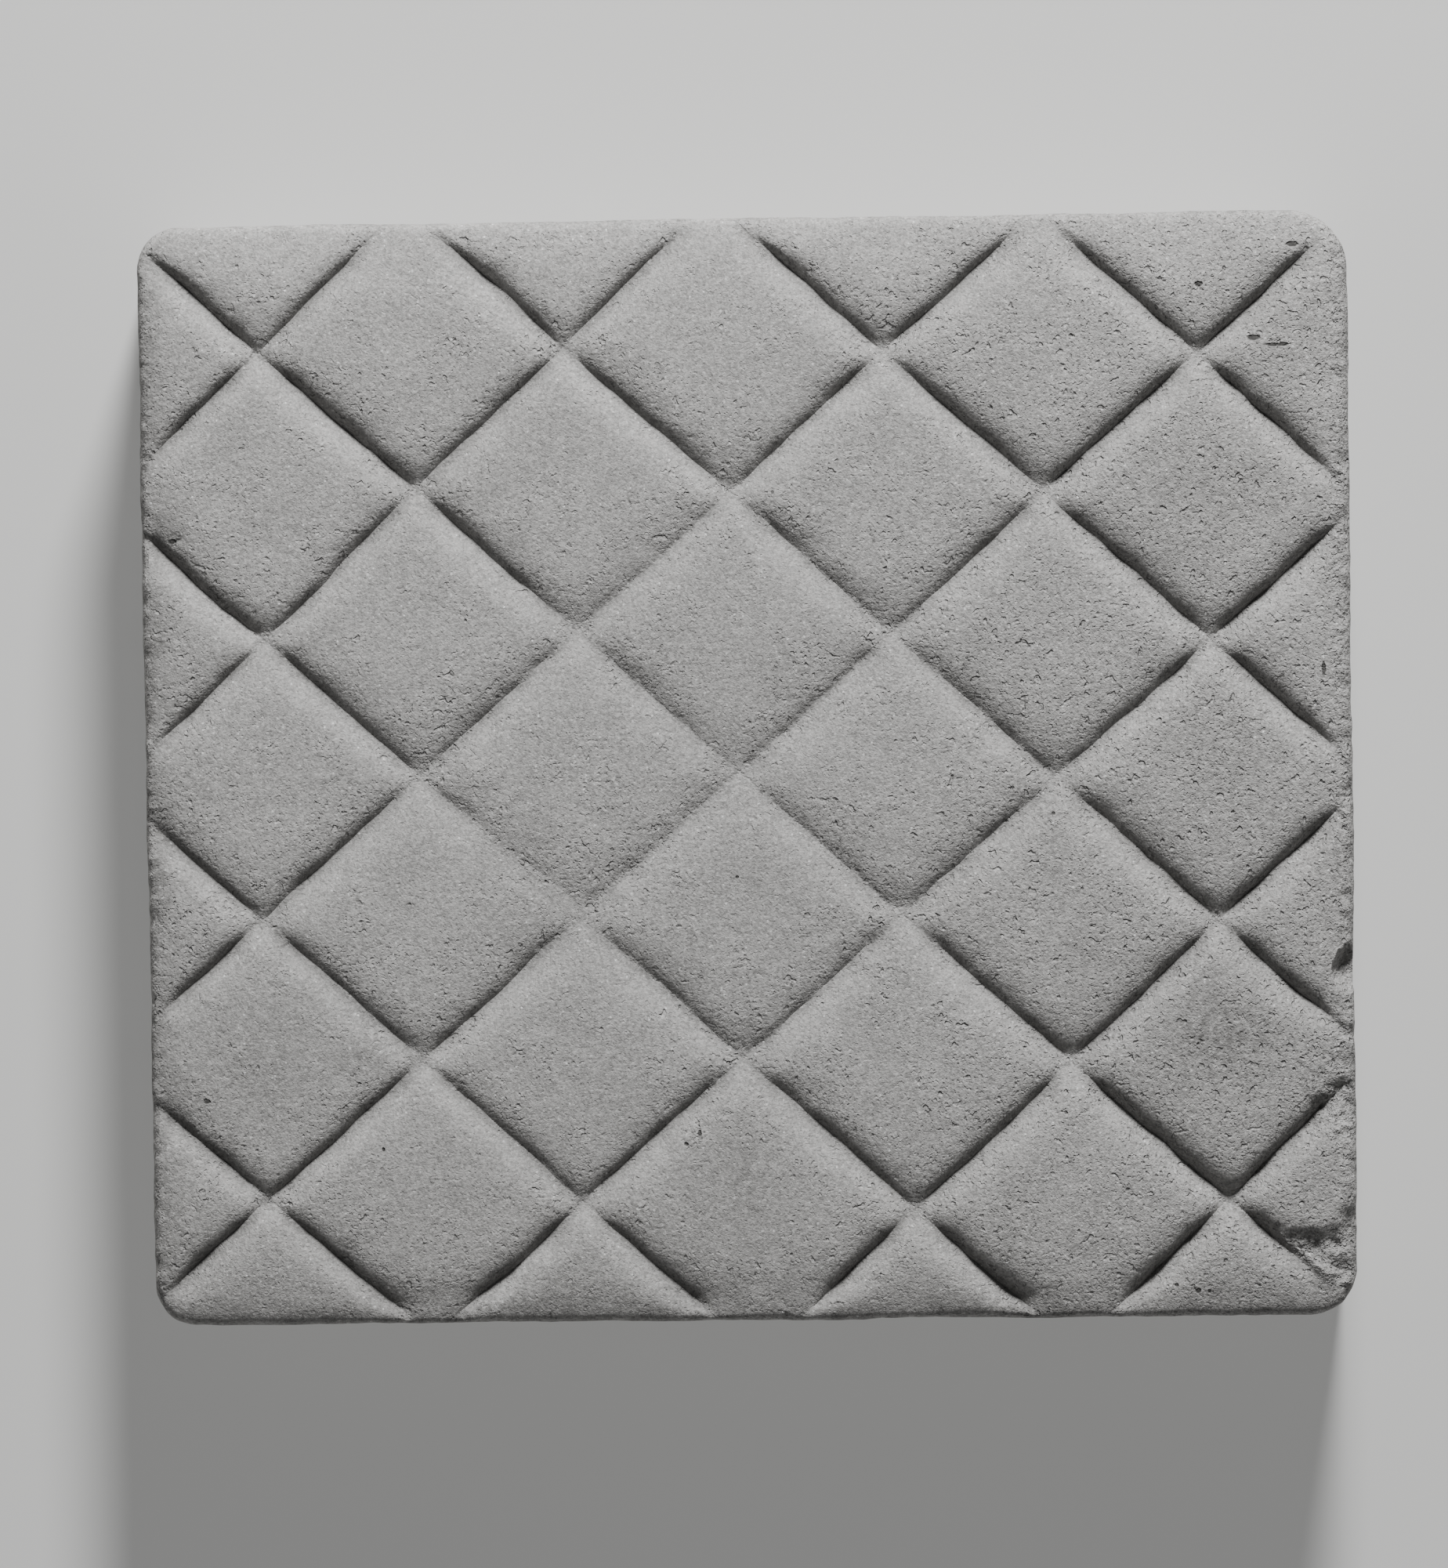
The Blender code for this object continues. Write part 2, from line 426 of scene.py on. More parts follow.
def in_plan(across, up):
    """A point of the plan and the direction to its nearest edge, from distances along the sides."""
    side_x, near_x = ("left", across) if across < WIDTH / 2 else ("right", WIDTH - across)
    side_y, near_y = ("foot", up) if up < HEIGHT / 2 else ("head", HEIGHT - up)
    sign = Vector((-1.0 if side_x == "left" else 1.0, -1.0 if side_y == "foot" else 1.0))
    radius = CORNER_RADII[(side_x, side_y)]
    outward = Vector((1.0, 0.0)) if near_x < near_y else Vector((0.0, 1.0))
    inset = Vector((near_x, near_y))
    if near_x < radius and near_y < radius:
        out_x, out_y = 1.0 - near_x / radius, 1.0 - near_y / radius
        ring = max(out_x, out_y)
        turn = math.pi / 4 * min(out_x, out_y) / ring if ring else 0.0
        angle = turn if out_x >= out_y else math.pi / 2 - turn
        outward = Vector((math.cos(angle), math.sin(angle)))
        inset = Vector((radius, radius)) - outward * ring * radius
    outward = Vector((outward.x * sign.x, outward.y * sign.y))
    share_x = across / WIDTH
    share_y = up / HEIGHT
    x = inset.x if side_x == "left" else WIDTH - inset.x
    y = inset.y if side_y == "foot" else HEIGHT - inset.y
    x -= LEFT_LEAN * (1.0 - share_x) * share_y + RIGHT_LEAN * share_x * share_y
    y += HEAD_RISE * share_x * share_y
    place = Vector((x + LEFT + LEFT_LEAN, y + FOOT))
    return place, outward, min(near_x, near_y)


for across, up in ((0.0, HEIGHT / 2), (WIDTH, HEIGHT), (WIDTH / 2, 0.0)):
    print("plan point:", [round(value, 2) for value in in_plan(across, up)[0]])

# %% [markdown]
# ## The blank
#
# The blank is a tray and a lid. The tray is the back and the four sides, in coarse squares, because
# they are plain. The lid is the face, three times finer. Cutting each edge of the tray's rim in three
# gives both rims the same points, so that merging doubles closes the slab. At this stage the points
# lie on whole numbers, and the mapping above moves them into place afterwards.

# %% Build the blank
COARSE = 3
SIDE_RINGS = 9


def grid_sheet(bm, level, step):
    """A flat sheet of squares over the whole grid, with only every so many of its lines."""
    bmesh.ops.create_grid(
        bm,
        x_segments=ACROSS // step,
        y_segments=UP // step,
        size=0.5,
        matrix=Matrix.Translation((ACROSS / 2, UP / 2, level)) @ Matrix.Diagonal((ACROSS, UP, 1.0, 1.0)),
    )


def blank():
    """The closed slab before it is squared, with its points on whole numbers."""
    bm = bmesh.new()
    grid_sheet(bm, 0.0, COARSE)
    rim = [edge for edge in bm.edges if edge.is_boundary]
    for ring in range(SIDE_RINGS):
        made = bmesh.ops.extrude_edge_only(bm, edges=rim)["geom"]
        rim = [item for item in made if isinstance(item, bmesh.types.BMEdge)]
        raised = [item for item in made if isinstance(item, bmesh.types.BMVert)]
        bmesh.ops.translate(bm, verts=raised, vec=(0.0, 0.0, 1.0))
    bmesh.ops.subdivide_edges(bm, edges=rim, cuts=COARSE - 1)
    grid_sheet(bm, float(SIDE_RINGS), 1)
    bmesh.ops.remove_doubles(bm, verts=bm.verts, dist=0.01)
    bmesh.ops.recalc_face_normals(bm, faces=bm.faces)
    return bm


slab = blank()
open_edges = sum(edge.is_boundary for edge in slab.edges)
print(f"blank: {len(slab.verts)} points, {len(slab.faces)} faces, {open_edges} open edges")

# %% [markdown]
# ## Squaring the blank
#
# Each point now goes to its place in the plan, and each ring of the sides to its level. The outline
# wavers by a fraction of a millimetre, as an edge does that was dressed by hand and not by a saw. Every
# point of the lid also remembers how far it lies inside the outline, in a layer of the mesh. A layer is
# handed on to the new points when an edge is cut later, which a plain Python list isn't.

# %% Square the blank
SIDE_LEVELS = [0.0, 0.5, BACK_ARRIS, 6.0, 11.0, 16.5, 22.0, 27.0, FACE - 6.6, FACE - FACE_ARRIS]
BACK_INSETS = {1: 0.55}
WAVER = 0.30
WAVER_LENGTH = 16.0
WAVER_HEIGHT = 20.0
NICK = 0.16
NICK_LENGTH = 2.4
NICK_HEIGHT = 3.0
FADE_INWARDS = 4.0
NOT_LID = -1.0


def waver(place, level):
    """How far the hand-dressed edge lies inside the ruled one."""
    slow = noise.noise(Vector((place.x / WAVER_LENGTH, place.y / WAVER_LENGTH, level / WAVER_HEIGHT)))
    quick = noise.noise(Vector((place.x / NICK_LENGTH, place.y / NICK_LENGTH, level / NICK_HEIGHT)))
    return WAVER * (0.5 + slow) + NICK * (0.5 + quick)


def square(bm):
    """Moves every point to its place in the slab, and gives the layer that says how far inside it lies."""
    inside = bm.verts.layers.float.new("inside")
    for vert in bm.verts:
        column, row, ring = (round(value) for value in vert.co)
        place, outward, depth_in = in_plan(line_place(column, ACROSS, WIDTH), line_place(row, UP, HEIGHT))
        level = SIDE_LEVELS[ring]
        if ring == 0:
            place = Vector((place.x * (1.0 - BACK_ARRIS / RIGHT), place.y * (1.0 - BACK_ARRIS / HEAD)))
        place -= outward * BACK_INSETS.get(ring, 0.0)
        place -= outward * waver(place, level) * math.exp(-depth_in / FADE_INWARDS)
        vert.co = Vector((place.x, place.y, level))
        vert[inside] = depth_in if ring == SIDE_RINGS else NOT_LID
    return inside


INSIDE = square(slab)
lid = [vert for vert in slab.verts if vert[INSIDE] >= 0.0]
print(f"lid: {len(lid)} points, tray: {len(slab.verts) - len(lid)}")

# %% [markdown]
# ## Scribing the lines
#
# A mason scribes the lines before cutting, and the mesh needs the same. A straight cut through the
# faces along each groove's line puts real edges where its bottom will be sharp, and two more put edges
# on its walls. Without them the groove would step from square to square of the grid. The outermost ring
# of faces is left whole, so that the rim keeps its points. The parts to be cut are listed once each, in
# the order of the faces.

# %% Scribe the grooves
SCRIBED_LINES = (-1.2, 0.0, 1.2)
UNCUT_RIM = 0.05
SAME_POINT = 0.02


def scribe(bm, region, groove, step):
    """Splits the faces along a line beside a groove, and gives them back with their new parts."""
    middle = groove.normal * (groove.distance + step)
    made = bmesh.ops.bisect_plane(
        bm,
        geom=region,
        dist=SAME_POINT,
        plane_co=Vector((middle.x, middle.y, 0.0)),
        plane_no=Vector((groove.normal.x, groove.normal.y, 0.0)),
    )
    return made["geom"]


faces = [face for face in slab.faces if all(vert[INSIDE] > UNCUT_RIM for vert in face.verts)]
parts = [item for face in faces for item in (face, *face.edges, *face.verts)]
region = list(dict.fromkeys(parts))
for groove in FALLING + RISING:
    for step in SCRIBED_LINES:
        region = scribe(slab, region, groove, step)
lid = [vert for vert in slab.verts if vert[INSIDE] >= 0.0]
print(f"lid with its lines: {len(lid)} points")

# %% [markdown]
# ## Carving the face
#
# Now the lid is lowered to the carving. Towards each edge the face rolls over, most at the head, and
# ends in a small quarter round. The roll's drop and the carving's drop are added, so a groove that runs
# over the edge dips the arris too. Then the whole face is nudged sideways: by a slow noise and a quick
# one, which bend the straight grooves as a hand would have cut them, and by a few bows where a groove
# plainly leaves its line. Noise with a direction starts from the clock unless it is given a seed, so it
# gets one here and the tile comes out the same each time. Last, the bites are taken out of the rim.

# %% Carve the face
ARRISES = {"head": 1.2, "foot": 1.0, "left": 1.7, "right": 1.7}
ARRIS_BLEND = 5.0
ARRIS_UNEVEN = 0.45
ARRIS_LENGTH = 8.0
ROLL_DROP = {"head": 3.6, "foot": 2.6, "left": 2.5, "right": 1.9}
ROLL_REACH = {"head": 7.0, "foot": 5.9, "left": 3.6, "right": 2.2}
ROLL_LIMIT = 4.4
HAND_SEED = 4
HAND_STRAY = 0.45
HAND_LENGTH = 22.0
HAND_FADE = 9.0
TREMOR = 0.28
TREMOR_LENGTH = 4.5
# Each bow as its middle, its reach, and how far it pushes the face there
BOWS = [
    (Vector((-31.0, -18.0)), 8.0, Vector((1.0, 1.1))),
    (Vector((-89.0, 31.0)), 9.0, Vector((-0.40, -0.45))),
    (Vector((-89.0, -14.0)), 9.0, Vector((-0.22, -0.25))),
    (Vector((-39.0, 79.0)), 8.0, Vector((0.23, 0.26))),
    (Vector((65.0, -14.0)), 9.0, Vector((0.20, 0.22))),
    (Vector((36.0, 57.0)), 9.0, Vector((-0.13, -0.15))),
    (Vector((63.0, 33.0)), 9.0, Vector((0.17, 0.19))),
    (Vector((-14.0, -36.0)), 9.0, Vector((0.20, 0.24))),
    (Vector((-68.0, -36.0)), 9.0, Vector((0.22, 0.26))),
    (Vector((-38.0, -80.0)), 9.0, Vector((0.50, -0.56))),
    (Vector((-15.0, 35.0)), 9.0, Vector((0.25, -0.28))),
    (Vector((11.0, 57.0)), 8.0, Vector((-0.15, 0.17))),
    (Vector((-87.0, -78.0)), 8.0, Vector((-0.17, 0.19))),
    (Vector((-44.0, -10.0)), 8.0, Vector((0.30, 0.34))),
    (Vector((88.0, 31.0)), 9.0, Vector((0.23, -0.25))),
    (Vector((37.0, 34.0)), 11.0, Vector((0.22, -0.25))),
    (Vector((89.0, -36.0)), 9.0, Vector((-0.22, -0.24))),
    (Vector((40.0, -61.0)), 11.0, Vector((0.21, -0.23))),
]


def arris_at(place):
    """The radius of the arris, blended from edge to edge round the corners."""
    inside = edge_distances(place)
    weights = {name: math.exp(-max(0.0, inside[name]) / ARRIS_BLEND) for name in inside}
    even = sum(weights[name] * ARRISES[name] for name in weights) / sum(weights.values())
    return even + ARRIS_UNEVEN * ripple(place, ARRIS_LENGTH, 11.0)


def arris_drop(inside, radius):
    """A quarter round: the whole radius at the outline, nothing once a radius inside it."""
    left = max(0.0, radius - inside)
    return radius - math.sqrt(radius * radius - left * left)


def roll_drop(place):
    """How far the worn edges fall away."""
    inside = edge_distances(place)
    return sum(ROLL_DROP[name] * math.exp(-max(0.0, inside[name]) / ROLL_REACH[name]) for name in inside)


def hand_stray(place, inside):
    """How far the hand put a point of the face beside its ruled place."""
    slow = noise.noise_vector(Vector((place.x / HAND_LENGTH, place.y / HAND_LENGTH, 5.0)))
    quick = noise.noise_vector(Vector((place.x / TREMOR_LENGTH, place.y / TREMOR_LENGTH, 9.0)))
    stray = HAND_STRAY * Vector((slow.x, slow.y)) + TREMOR * Vector((quick.x, quick.y))
    for middle, reach, bow in BOWS:
        stray += bow * bump(place, middle, Vector((reach, reach)))
    return stray * soft_step(inside, 0.0, HAND_FADE)


def carve(bm):
    """Lowers the lid to its carving, and takes the bites out of the whole slab."""
    for vert in bm.verts:
        inside = vert[INSIDE]
        place = vert.co.xy
        if inside >= 0.0:
            rough = roughness_at(place)
            level = FACE - carving_at(place) - broken_drop(place) - arris_drop(inside, arris_at(place))
            level += unevenness(place, rough) - min(ROLL_LIMIT, roll_drop(place))
            place = place + hand_stray(place, inside)
            vert.co = Vector((place.x, place.y, level))
        vert.co = bitten(vert.co)


noise.seed_set(HAND_SEED)
carve(slab)
levels = [vert.co.z for vert in lid]
print(f"face from {min(levels):.2f} to {max(levels):.2f} mm")

# %% [markdown]
# ## Marks for the stone
#
# The finish has to know where the stone is broken, where shade is painted along the groove bottoms and
# the edges, where the skin is pitted and where it is stained. Five numbers on each point carry that to the
# shader as attributes, worked out from the same formulas as the shape. Pits show most on the lozenges'
# lower halves, which slope away from the light, and there are a few pitted and stained places besides.

# %% Mark the rough places, the painted shade, the pits and the stains
# Painted shade along the groove bottoms: its width and middle across a groove, where it clears towards a
# crossing, and how much wear thins it
GROOVE_SHADE_WIDTH = 1.1
GROOVE_SHADE_MIDDLE = -0.05
UNSHADED_CROSSING = (1.0, 5.0)
LESS_SHADE_WHEN_WORN = 0.7
PITTED_REACH = 7.0
# The tray's points carry a little painted edge shade over the sides, and none of the groove shade
MARKS_OF_TRAY = {"rough": 0.6, "groove_shade": 0.0, "pitted": 0.5, "stain": 0.0, "edge_shade": 0.3}
# How far painted shade reaches in from each edge, furthest at the foot and the left, which face away from
# the key light
EDGE_SHADE_REACHES = {"foot": 4.6, "left": 5.0, "right": 1.5, "head": 0.6}
PITTED_PLACES = [
    (Vector((88.5, 69.8)), Vector((7.0, 3.5)), 1.0),
    (Vector((-9.1, -61.0)), Vector((2.6, 2.8)), 1.3),
    (Vector((-89.2, -54.4)), Vector((2.6, 1.8)), 1.1),
    (Vector((-96.1, -22.6)), Vector((2.5, 5.0)), 1.1),
    (Vector((-88.3, 48.1)), Vector((3.4, 1.6)), 1.0),
    (Vector((-78.2, 82.4)), Vector((1.6, 3.0)), 0.9),
    (Vector((-29.8, -16.7)), Vector((4.0, 2.4)), 0.8),
    (Vector((-43.9, -1.0)), Vector((3.2, 1.6)), 0.8),
    (Vector((52.0, 25.0)), Vector((12.0, 9.0)), 0.4),
    (Vector((25.0, 74.0)), Vector((7.0, 4.0)), 1.0),
    (Vector((70.0, 33.0)), Vector((6.0, 4.0)), 1.1),
    (Vector((-86.0, -63.0)), Vector((4.0, 3.0)), 1.0),
    (Vector((52.0, 10.0)), Vector((7.0, 5.0)), 1.1),
    (Vector((-54.0, 7.0)), Vector((6.0, 4.0)), 0.9),
    (Vector((-25.0, -14.0)), Vector((8.0, 3.0)), 1.0),
]
STAINED_PLACES = [
    (Vector((78.3, -46.0)), Vector((11.0, 10.0)), 0.80),
    (Vector((-0.6, -69.6)), Vector((9.0, 12.0)), 0.34),
    (Vector((-80.0, -48.0)), Vector((12.0, 9.0)), 0.34),
    (Vector((-53.0, -71.0)), Vector((11.0, 8.0)), 0.16),
    (Vector((76.0, 46.0)), Vector((12.0, 9.0)), 0.34),
    (Vector((89.0, 72.0)), Vector((8.0, 8.0)), 0.36),
    (Vector((78.0, 2.0)), Vector((11.0, 10.0)), 0.24),
    (Vector((54.5, -32.5)), Vector((5.0, 9.0)), 0.40),
    (Vector((42.7, -73.9)), Vector((1.2, 8.0)), 0.50),
    (Vector((-1.0, -68.0)), Vector((2.0, 11.0)), 0.20),
    (Vector((-53.0, 63.0)), Vector((8.0, 6.0)), 0.16),
    (Vector((95.0, -84.0)), Vector((7.0, 6.0)), 0.35),
    (Vector((69.0, 34.0)), Vector((6.0, 4.0)), 0.30),
    (Vector((-64.0, -46.6)), Vector((3.5, 3.5)), 0.40),
    (Vector((-27.0, -52.0)), Vector((9.0, 7.0)), 0.18),
    (Vector((-86.0, -63.0)), Vector((4.0, 3.0)), 0.30),
]


def edge_shade_at(place):
    """Painted shade at the edges: from 1 at an edge to 0 well inside it, reaching furthest in at the foot
    and the left.
    """
    inside = edge_distances(place)
    return max(math.exp(-((max(0.0, inside[name]) / reach) ** 2)) for name, reach in EDGE_SHADE_REACHES.items())


def mark(bm):
    """Writes the five marks on every point."""
    layers = {name: bm.verts.layers.float.new(name) for name in MARKS_OF_TRAY}
    for vert in bm.verts:
        place = vert.co.xy
        marks = dict(MARKS_OF_TRAY)
        if vert[INSIDE] >= 0.0:
            sides = {
                "falling": nearest(place, FALLING).side(place),
                "rising": nearest(place, RISING).side(place),
            }
            # Painted shade along the bottom of the nearer groove, cleared at crossings and thinner where
            # wear has made the grooves shallow
            groove_shading = max(
                math.exp(-(((side - GROOVE_SHADE_MIDDLE) / GROOVE_SHADE_WIDTH) ** 2)) * run_out_at(place, name)
                for name, side in sides.items()
            )
            groove_shading *= soft_step(max(abs(side) for side in sides.values()), *UNSHADED_CROSSING)
            lower = max(math.exp(-side / PITTED_REACH) if side > 0.0 else 0.0 for side in sides.values())
            marks["rough"] = roughness_at(place)
            marks["groove_shade"] = groove_shading * (1.0 - LESS_SHADE_WHEN_WORN * min(1.0, wear_at(place)))
            marks["pitted"] = lower + marks_at(place, PITTED_PLACES)
            marks["stain"] = marks_at(place, STAINED_PLACES)
            # Painted shade along the edges
            marks["edge_shade"] = edge_shade_at(place)
        for name, value in marks.items():
            vert[layers[name]] = value


mark(slab)

# %% [markdown]
# ## From the workshop to the scene
#
# The mesh is scaled from millimetres to metres and becomes one object. It replaces the plain solid.
# Smooth shading hides the small faces, and edges that turn by more than a set angle stay sharp: the
# bottoms of the deepest grooves and the lips of the breaks.

# %% Make the tile
SHARP_TURN = 42.0

bmesh.ops.scale(slab, vec=(MM, MM, MM), verts=slab.verts)
mesh = bpy.data.meshes.new("tile_stone")
slab.to_mesh(mesh)
slab.free()
mesh.shade_smooth()
mesh.set_sharp_from_angle(angle=math.radians(SHARP_TURN))
tile = bpy.data.objects.new("tile_stone", mesh)
bpy.context.scene.collection.objects.link(tile)
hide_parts("carved_tile")
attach(tile, "root")
triangles = sum(len(polygon.vertices) - 2 for polygon in mesh.polygons)
print(f"tile: {triangles} triangles")

# %% [markdown]
# ## Writing shader sums as plain Python
#
# A shader is a net of small sums. Written node by node it is long and hard to read, so one small class
# wraps a socket and lets the usual signs add the nodes. Every other node comes from one method, which
# takes its type, its settings and the values or wires of its sockets.

# %% A socket that can do sums
class Wire:
    """The output of a node. Signs between wires and numbers add Math nodes."""

    def __init__(self, nodes, socket):
        self.nodes = nodes
        self.socket = socket

    def maths(self, operation, first, second):
        return self.nodes.add("ShaderNodeMath", {"operation": operation}, {0: first, 1: second})

    def __add__(self, other):
        return self.maths("ADD", self, other)

    def __mul__(self, other):
        return self.maths("MULTIPLY", self, other)

    def __sub__(self, other):
        return self.maths("SUBTRACT", self, other)

    def __rsub__(self, other):
        return self.maths("SUBTRACT", other, self)

    __radd__ = __add__
    __rmul__ = __mul__


class Nodes:
    """The nodes of one material or world, which comes with a shader of its own."""

    def __init__(self, owner, shader):
        owner.use_nodes = True
        self.owner = owner
        self.tree = owner.node_tree
        self.shader = self.tree.nodes[shader]

    def fill(self, node, inputs):
        """Sets the sockets of a node, each to a number, a colour or a wire."""
        for name, value in inputs.items():
            if isinstance(value, Wire):
                self.tree.links.new(value.socket, node.inputs[name])
            else:
                node.inputs[name].default_value = value

    def add(self, kind, settings=None, inputs=None, output=0):
        """Adds a node, sets it up, fills its sockets and gives one of its outputs."""
        node = self.tree.nodes.new(kind)
        for name, value in (settings or {}).items():
            setattr(node, name, value)
        self.fill(node, inputs or {})
        return Wire(self, node.outputs[output])

    def step(self, value, low, high):
        """Rises smoothly from 0 at low to 1 at high, or falls where low is the greater."""
        ends = {"Value": value, "From Min": low, "From Max": high}
        return self.add("ShaderNodeMapRange", {"interpolation_type": "SMOOTHSTEP"}, ends)

    def lumps(self, place, size, detail=3.0, roughness=0.55):
        """Noise about 0.5 whose lumps are about the size given, in the units of the place."""
        inputs = {"Vector": place, "Scale": 1.0 / size, "Detail": detail, "Roughness": roughness}
        return self.add("ShaderNodeTexNoise", None, inputs)

    def mark(self, name):
        """A number that the mesh carries on its points."""
        return self.add("ShaderNodeAttribute", {"attribute_name": name}, output="Fac")

    def vector(self, operation, inputs, output=0):
        return self.add("ShaderNodeVectorMath", {"operation": operation}, inputs, output)

    def stretch(self, place, amounts):
        return self.vector("MULTIPLY", {0: place, 1: amounts})

    def spots(self, place, sizes):
        """How far the nearest spot is, in units of its own reach across and up, whatever the height."""
        near = 9.0
        for middle, reach in sizes:
            moved = self.vector("SUBTRACT", {0: place, 1: (*middle, 0.0)})
            sized = self.stretch(moved, (1.0 / reach[0], 1.0 / reach[1], 0.0))
            length = self.vector("LENGTH", {0: sized}, "Value")
            near = length.maths("MINIMUM", length, near)
        return near

    def mix(self, share, first, second):
        """A colour between two others."""
        inputs = {"Factor": share, 6: first, 7: second}
        return self.add("ShaderNodeMix", {"data_type": "RGBA"}, inputs, 2)


print("shader helpers ready")

# %% [markdown]
# ## The stone
#
# The stone is a pale grey with a grain like sugar: crystals of a third to half a millimetre. A few of them
# glint: that glint is painted into the colour as a near-white tone, and the same crystals are glossier
# too.
# Broad, faint patches lie over it. All of it hangs on Object coordinates, turned to millimetres, so a size
# in the shader can be read against the size of the tile.

# %% Grain and tone
MM_PER_METRE = 1000.0
GRAIN = 0.38
CRYSTAL = 0.46
PALE = (0.580, 0.570, 0.556, 1.0)
DULL = (0.263, 0.258, 0.252, 1.0)
PAINTED_GLINT = (0.88, 0.88, 0.87, 1.0)
# The dark colour of the painted shade in the grooves and along the edges, and of the real stains and
# specks
SHADE_AND_STAIN = (0.060, 0.058, 0.055, 1.0)
# How much each kind of lump moves the tone between dull and pale
GRAIN_TONE = 1.8
CRYSTAL_TONE = 0.54
PATCH_TONE = 0.35
CLOUD_TONE = 0.25

stone = Nodes(bpy.data.materials.new("worn_stone"), "Principled BSDF")
place = stone.stretch(stone.add("ShaderNodeTexCoord", output="Object"), (MM_PER_METRE,) * 3)
rough = stone.mark("rough")
groove_shade = stone.mark("groove_shade")
pitted = stone.mark("pitted")
stain = stone.mark("stain")
edge_shade = stone.mark("edge_shade")
right = stone.step(stone.add("ShaderNodeSeparateXYZ", None, {0: place}), -15.0, 90.0)

grain = stone.lumps(place, GRAIN, 2.0, 0.75)
patches = stone.lumps(place, 7.0, 3.0)
clouds = stone.lumps(place, 30.0, 2.0)
cell = {"Vector": place, "Scale": 1.0 / CRYSTAL}
shade = stone.add("ShaderNodeTexVoronoi", None, cell, "Color")
crystal = stone.add("ShaderNodeSeparateColor", None, {0: shade})
heart = stone.step(stone.add("ShaderNodeTexVoronoi", None, cell, "Distance"), 0.5, 0.15)
# Painted glint: the hearts of a few crystals are mixed towards near-white for the light they catch, and
# further down they are glossier too
glinting_crystals = stone.step(crystal, 0.968, 0.990) * heart
tone = 0.5 + (grain - 0.5) * GRAIN_TONE + (crystal - 0.5) * CRYSTAL_TONE
tone = tone + (patches - 0.5) * PATCH_TONE + (clouds - 0.5) * CLOUD_TONE
colour = stone.mix(tone, DULL, PALE)
colour = stone.mix(glinting_crystals, colour, PAINTED_GLINT)

# %% [markdown]
# ## Dirt and stains
#
# Shade is painted into the colour: the bottoms of the grooves are darkened, and so are the edges, most
# along the foot and the left edge, which face away from the key light, and the sides a little. There are
# also a few old specks and faint stains, each with its own place. Each layer is a colour mixed over the
# one before, with a strength of its own.

# %% Painted shade, stains and specks
GROOVE_SHADE_STRENGTH = 0.5
STAIN_STRENGTH = 0.75
EDGE_SHADE_STRENGTH = 0.42
SPECK_STRENGTH = 0.92
# Each speck as its place, and its reach across and up
SPECKS = [
    ((-60.8, -62.8), (0.35, 0.52)),
    ((70.4, -86.5), (0.44, 0.38)),
    ((74.0, -87.5), (0.60, 0.50)),
    ((75.9, -87.6), (0.38, 0.44)),
    ((-95.0, 38.2), (0.80, 0.60)),
    ((50.7, -8.1), (0.34, 0.30)),
    ((1.0, 2.6), (0.28, 0.32)),
    ((95.7, 15.2), (0.45, 1.70)),
    ((-1.8, -18.2), (0.30, 0.30)),
    ((-10.6, -62.4), (0.60, 0.55)),
    ((-8.4, -60.6), (0.42, 0.62)),
    ((-90.0, -54.6), (0.75, 0.48)),
    ((84.6, 70.4), (1.40, 0.60)),
    ((88.2, 69.2), (2.80, 0.45)),
    ((75.6, 79.4), (0.90, 0.60)),
    ((91.2, 85.9), (1.30, 0.50)),
]

blots = stone.lumps(place, 1.6, 2.0, 0.7)
edge_shade_lumps = stone.lumps(place, 4.0, 3.0, 0.65)
# Painted shade darkens the bottoms of the grooves
colour = stone.mix(groove_shade * GROOVE_SHADE_STRENGTH, colour, SHADE_AND_STAIN)
colour = stone.mix(stain * stone.step(blots, 0.25, 0.75) * STAIN_STRENGTH, colour, SHADE_AND_STAIN)
# Painted shade along the edges and sides, in patches
colour = stone.mix(edge_shade * stone.step(edge_shade_lumps, 0.30, 0.72) * EDGE_SHADE_STRENGTH, colour, SHADE_AND_STAIN)
specks = stone.step(stone.spots(place, SPECKS) + (blots - 0.5) * 1.2, 0.95, 0.45)
colour = stone.mix(specks * SPECK_STRENGTH, colour, SHADE_AND_STAIN)

# %% [markdown]
# ## The skin of the stone
#
# Under a low light the grain shows by its relief as much as by its colour. The bump's height is summed
# in millimetres, and the Bump node's distance turns it to metres. Pits come in patches, most of them on
# the lower halves of the lozenges and towards the right side.

# %% Relief of the grain
FINE = 0.13
FINE_TO_RIGHT = 0.06
LUMPS = 0.11
LUMPS_PITTED = 0.16
LUMPS_BROKEN = 0.60
SPECK_DEPTH = 0.35
SMALL_PIT = 0.05
SMALL_PIT_PITTED = 0.14
SMALL_PIT_BROKEN = 0.25
LARGE_PIT = 0.30

